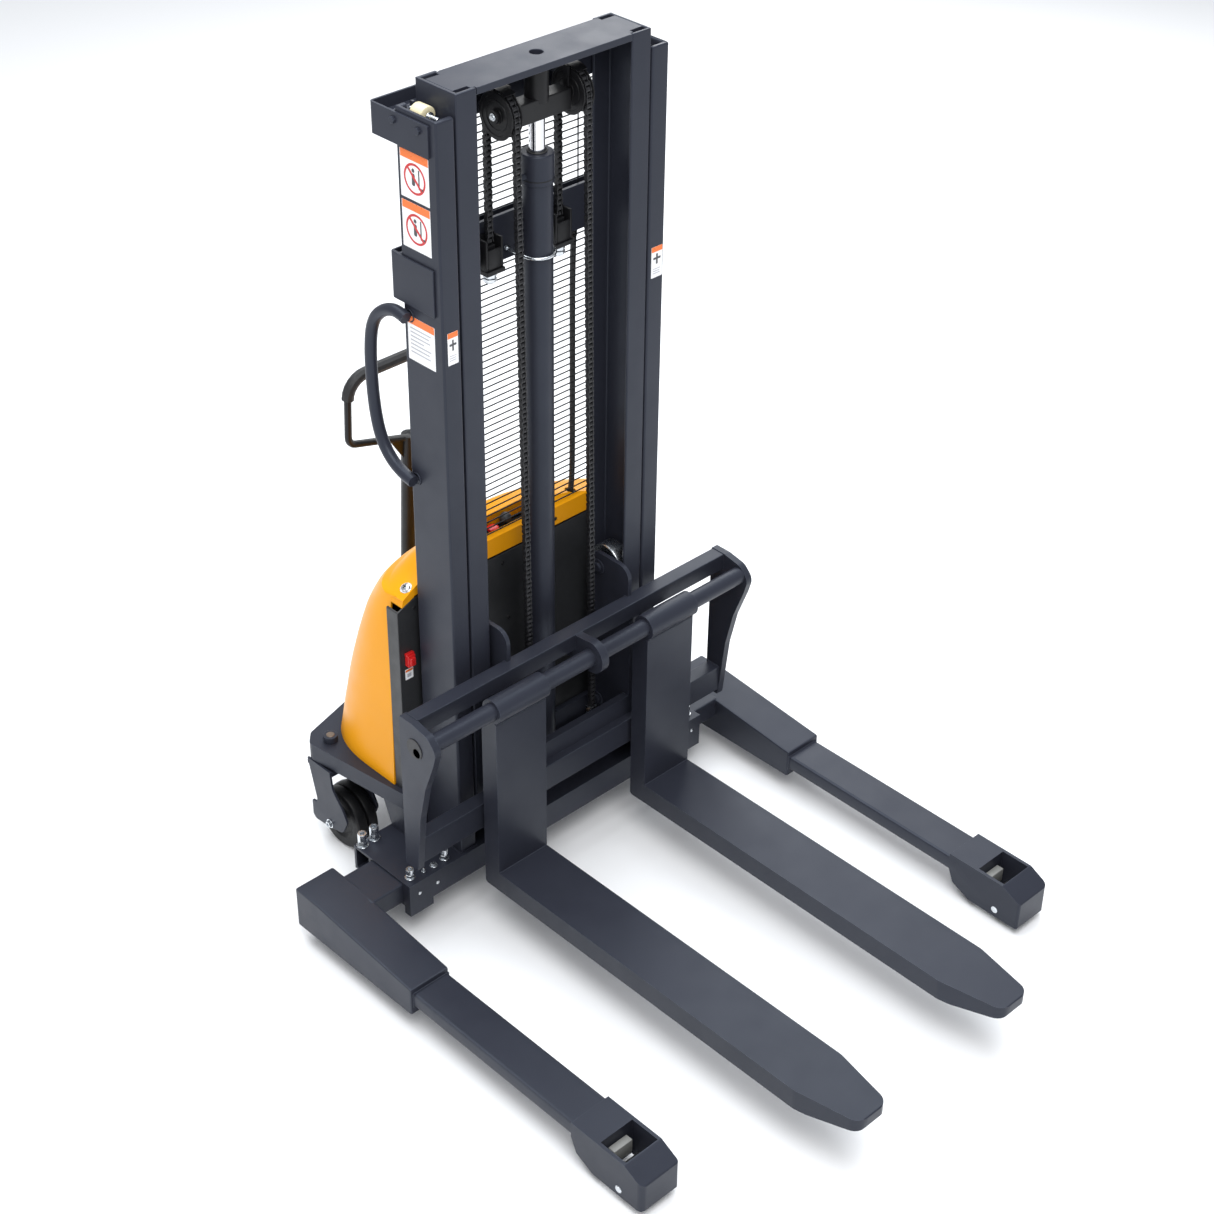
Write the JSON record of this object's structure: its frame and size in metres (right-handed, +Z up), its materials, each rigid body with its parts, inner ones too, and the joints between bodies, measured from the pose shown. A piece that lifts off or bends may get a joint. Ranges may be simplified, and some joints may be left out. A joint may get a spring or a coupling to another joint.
{
  "type": "walkie stacker",
  "caption": "Walkie straddle stacker with a two-stage mast, sliding forks on a shaft carriage, width-adjustable legs, amber power cover and loop tiller.",
  "frame": {"origin": "centre of the bounding box on the floor", "axes": "+Z up, forks point to -Y, +X is the machine's right seen from the mast looking along the forks' side"},
  "size_m": [1.4096, 1.8912, 2.126],
  "materials": {
    "slate_paint": "satin dark slate paint on steel",
    "black_paint": "satin black paint on steel",
    "black_plastic": "fine-textured black plastic",
    "amber_plastic": "amber moulded plastic",
    "zinc": "zinc-plated steel",
    "chain_steel": "dark oiled steel",
    "chromed_steel": "hard chrome",
    "cream_nylon": "cream nylon",
    "load_nylon": "black nylon",
    "red_plastic": "red plastic",
    "rubber": "black rubber",
    "tyre_rubber": "black solid rubber tyre"
  },
  "bodies": {
    "base": {"outer_mast_left": "slate_paint", "outer_mast_right": "slate_paint", "mid_crossmember": "slate_paint", "top_crossmember": "slate_paint", "base_beam": "slate_paint", "chassis_frame": "slate_paint", "wire_guard": "black_paint", "lift_cylinder": "slate_paint", "cylinder_gland": "slate_paint", "grab_handle": "slate_paint", "lift_hose": "rubber", "hood": "amber_plastic", "front_panel": "black_plastic", "control_tray": "black_plastic", "battery": "black_plastic", "power_pack": "black_paint", "battery_connector": "red_plastic", "chain_anchor_left": "black_paint", "chain_anchor_right": "black_paint", "chain_anchor_run_left": "chain_steel", "chain_anchor_run_right": "chain_steel"},
    "inner_mast": {"inner_mast_left": "slate_paint", "inner_mast_right": "slate_paint", "inner_top_plate": "slate_paint", "inner_bottom_tie": "slate_paint", "piston_rod": "chromed_steel", "crosshead": "black_paint", "chain_lift_left": "chain_steel", "chain_lift_right": "chain_steel"},
    "carriage": {"carriage_frame": "slate_paint", "fork_shaft": "slate_paint", "chain_clevis_left": "zinc", "chain_clevis_right": "zinc"},
    "tiller_post": {"tiller_post": "slate_paint"},
    "tiller": {"tiller": "black_paint", "tiller_grip": "rubber"},
    "key_switch": {"key_switch": "chromed_steel"},
    "stop_button": {"stop_button": "red_plastic"},
    "lift_lever": {"lift_lever": "black_plastic"},
    "sheave_left": {"sheave_left": "chain_steel"},
    "thrust_roller_left": {"thrust_roller_left": "cream_nylon"},
    "carriage_roller_lower_left": {"carriage_roller_lower_left": "zinc"},
    "carriage_roller_upper_left": {"carriage_roller_upper_left": "zinc"},
    "fork_left": {"fork_left": "slate_paint"},
    "leg_left": {"leg_left": "slate_paint", "load_axle_left": "zinc"},
    "load_wheel_left": {"load_wheel_left": "load_nylon"},
    "steer_fork_left": {"steer_fork_left": "slate_paint"},
    "rear_wheel_left": {"rear_wheel_left": "tyre_rubber"},
    "sheave_right": {"sheave_right": "chain_steel"},
    "thrust_roller_right": {"thrust_roller_right": "cream_nylon"},
    "carriage_roller_lower_right": {"carriage_roller_lower_right": "zinc"},
    "carriage_roller_upper_right": {"carriage_roller_upper_right": "zinc"},
    "fork_right": {"fork_right": "slate_paint"},
    "leg_right": {"leg_right": "slate_paint", "load_axle_right": "zinc"},
    "load_wheel_right": {"load_wheel_right": "load_nylon"},
    "steer_fork_right": {"steer_fork_right": "slate_paint"},
    "rear_wheel_right": {"rear_wheel_right": "tyre_rubber"}
  },
  "joints": [
    {"name": "mast_lift", "type": "slide", "parent": "base", "child": "inner_mast", "axis": [0, 0, 1], "range_m": [-0.0452, 1.28], "deforming": ["chain_anchor_run_left", "chain_anchor_run_right"]},
    {"name": "carriage_lift", "type": "slide", "parent": "inner_mast", "child": "carriage", "axis": [0, 0, 1], "range_m": [-0.0452, 1.28], "deforming": ["chain_lift_left", "chain_lift_right"]},
    {"name": "sheave_spin_left", "type": "hinge", "parent": "inner_mast", "child": "sheave_left", "pos_m": [-0.102, 0.38295, 2.0176], "axis": [1, 0, 0], "continuous": true},
    {"name": "thrust_roller_spin_left", "type": "hinge", "parent": "base", "child": "thrust_roller_left", "pos_m": [-0.2975, 0.38965, 2.069], "axis": [0, 1, 0], "continuous": true},
    {"name": "carriage_roller_lower_left_spin", "type": "hinge", "parent": "carriage", "child": "carriage_roller_lower_left", "pos_m": [-0.2355, 0.38515, 0.345], "axis": [1, 0, 0], "continuous": true},
    {"name": "carriage_roller_upper_left_spin", "type": "hinge", "parent": "carriage", "child": "carriage_roller_upper_left", "pos_m": [-0.2355, 0.38515, 0.752], "axis": [1, 0, 0], "continuous": true},
    {"name": "fork_slide_left", "type": "slide", "parent": "carriage", "child": "fork_left", "axis": [-1, 0, 0], "range_m": [-0.15, 0.17]},
    {"name": "leg_slide_left", "type": "slide", "parent": "base", "child": "leg_left", "axis": [-1, 0, 0], "range_m": [-0.08, 0.046]},
    {"name": "load_wheel_spin_left", "type": "hinge", "parent": "leg_left", "child": "load_wheel_left", "pos_m": [-0.6483, -0.62895, 0.039], "axis": [1, 0, 0], "continuous": true},
    {"name": "wheel_steer_left", "type": "hinge", "parent": "base", "child": "steer_fork_left", "pos_m": [-0.389, 0.75165, 0.28], "axis": [0, 0, 1], "range_deg": [-75, 75]},
    {"name": "rear_wheel_spin_left", "type": "hinge", "parent": "steer_fork_left", "child": "rear_wheel_left", "pos_m": [-0.376, 0.71365, 0.084], "axis": [1, 0, 0], "continuous": true},
    {"name": "sheave_spin_right", "type": "hinge", "parent": "inner_mast", "child": "sheave_right", "pos_m": [0.102, 0.38295, 2.0176], "axis": [1, 0, 0], "continuous": true},
    {"name": "thrust_roller_spin_right", "type": "hinge", "parent": "base", "child": "thrust_roller_right", "pos_m": [0.2975, 0.38965, 2.069], "axis": [0, 1, 0], "continuous": true},
    {"name": "carriage_roller_lower_right_spin", "type": "hinge", "parent": "carriage", "child": "carriage_roller_lower_right", "pos_m": [0.2355, 0.38515, 0.345], "axis": [1, 0, 0], "continuous": true},
    {"name": "carriage_roller_upper_right_spin", "type": "hinge", "parent": "carriage", "child": "carriage_roller_upper_right", "pos_m": [0.2355, 0.38515, 0.752], "axis": [1, 0, 0], "continuous": true},
    {"name": "fork_slide_right", "type": "slide", "parent": "carriage", "child": "fork_right", "axis": [1, 0, 0], "range_m": [-0.15, 0.17]},
    {"name": "leg_slide_right", "type": "slide", "parent": "base", "child": "leg_right", "axis": [1, 0, 0], "range_m": [-0.08, 0.046]},
    {"name": "load_wheel_spin_right", "type": "hinge", "parent": "leg_right", "child": "load_wheel_right", "pos_m": [0.6483, -0.62895, 0.039], "axis": [1, 0, 0], "continuous": true},
    {"name": "wheel_steer_right", "type": "hinge", "parent": "base", "child": "steer_fork_right", "pos_m": [0.389, 0.75165, 0.28], "axis": [0, 0, 1], "range_deg": [-75, 75]},
    {"name": "rear_wheel_spin_right", "type": "hinge", "parent": "steer_fork_right", "child": "rear_wheel_right", "pos_m": [0.376, 0.71365, 0.084], "axis": [1, 0, 0], "continuous": true},
    {"name": "tiller_steer", "type": "hinge", "parent": "base", "child": "tiller_post", "pos_m": [0, 0.90665, 0.34], "axis": [0, 0, 1], "range_deg": [-75, 75]},
    {"name": "tiller_tilt", "type": "hinge", "parent": "tiller_post", "child": "tiller", "pos_m": [0, 0.90665, 0.43], "axis": [1, 0, 0], "range_deg": [-70, 3]},
    {"name": "key_turn", "type": "hinge", "parent": "base", "child": "key_switch", "pos_m": [-0.012, 0.48215, 0.9], "axis": [0, 0, 1], "range_deg": [0, 90]},
    {"name": "stop_press", "type": "slide", "parent": "base", "child": "stop_button", "axis": [0, 0, -1], "range_m": [0, 0.005]},
    {"name": "lever_tilt", "type": "hinge", "parent": "base", "child": "lift_lever", "pos_m": [-0.006, 0.50265, 0.894], "axis": [0, 1, 0], "range_deg": [-12, 12]}
  ],
  "couplings": [
    {"joint": "carriage_lift", "follows": "mast_lift", "ratio": 1},
    {"joint": "sheave_spin_left", "follows": "mast_lift", "rad_per_m": -21.505},
    {"joint": "wheel_steer_left", "follows": "tiller_steer", "ratio": 1},
    {"joint": "sheave_spin_right", "follows": "mast_lift", "rad_per_m": -21.505},
    {"joint": "wheel_steer_right", "follows": "tiller_steer", "ratio": 1}
  ]
}
